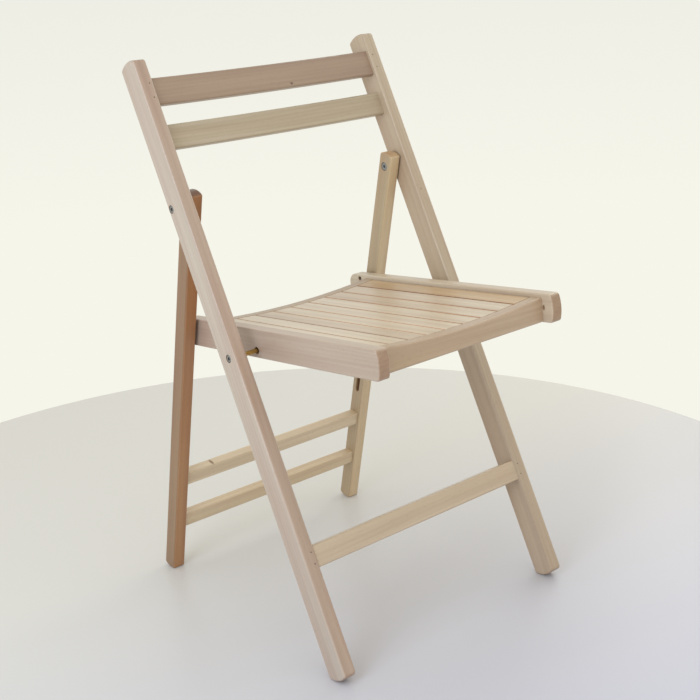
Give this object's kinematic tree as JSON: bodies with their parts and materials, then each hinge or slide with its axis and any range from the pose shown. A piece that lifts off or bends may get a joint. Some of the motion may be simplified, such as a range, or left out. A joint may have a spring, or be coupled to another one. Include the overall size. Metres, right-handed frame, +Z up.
{
  "type": "folding chair",
  "caption": "Wooden folding chair with leaning posts, a two-slat back, swinging rear legs and a slatted seat that turns up between the posts.",
  "frame": {"origin": "on the floor, under the middle of the open chair's bounding box", "axes": "+Z up, the sitter faces -Y, +X to the sitter's left"},
  "size_m": [0.425, 0.5051, 0.786],
  "materials": {
    "beech": "sanded and clear-lacquered beech",
    "zinc_steel": "zinc-plated steel",
    "yellow_zinc": "yellow zinc-plated steel"
  },
  "bodies": {
    "front_frame": {"left_post": "beech", "right_post": "beech", "top_back_slat": "beech", "lower_back_slat": "beech", "front_stretcher": "beech", "top_slat_brads": "zinc_steel", "front_stretcher_brads": "zinc_steel", "left_leg_pivot_bolt": "zinc_steel", "left_leg_pivot_nut": "zinc_steel", "left_seat_pivot_bolt": "zinc_steel", "left_seat_pivot_nut": "yellow_zinc", "right_leg_pivot_bolt": "zinc_steel", "right_leg_pivot_nut": "zinc_steel", "right_seat_pivot_bolt": "zinc_steel", "right_seat_pivot_nut": "yellow_zinc"},
    "rear_frame": {"left_rear_leg": "beech", "right_rear_leg": "beech", "upper_rear_stretcher": "beech", "lower_rear_stretcher": "beech"},
    "seat": {"left_seat_rail": "beech", "right_seat_rail": "beech", "front_seat_rail": "beech", "rear_seat_rail": "beech", "seat_slat_1": "beech", "seat_slat_2": "beech", "seat_slat_3": "beech", "seat_slat_4": "beech", "seat_slat_5": "beech", "seat_slat_6": "beech", "seat_slat_7": "beech", "seat_slat_8": "beech", "seat_slat_9": "beech", "left_guide_pin": "zinc_steel", "right_guide_pin": "zinc_steel"}
  },
  "joints": [
    {"name": "seat_fold", "type": "hinge", "parent": "front_frame", "child": "seat", "pos_m": [0, -0.00392, 0.40616], "axis": [-1, 0, 0], "range_deg": [0, 111.53]},
    {"name": "rear_legs_fold", "type": "hinge", "parent": "front_frame", "child": "rear_frame", "pos_m": [0, 0.10344, 0.59307], "axis": [-1, 0, 0], "range_deg": [0, 38.31]}
  ],
  "couplings": [
    {"joint": "rear_legs_fold", "follows": "seat_fold", "ratio": 0.3434}
  ]
}
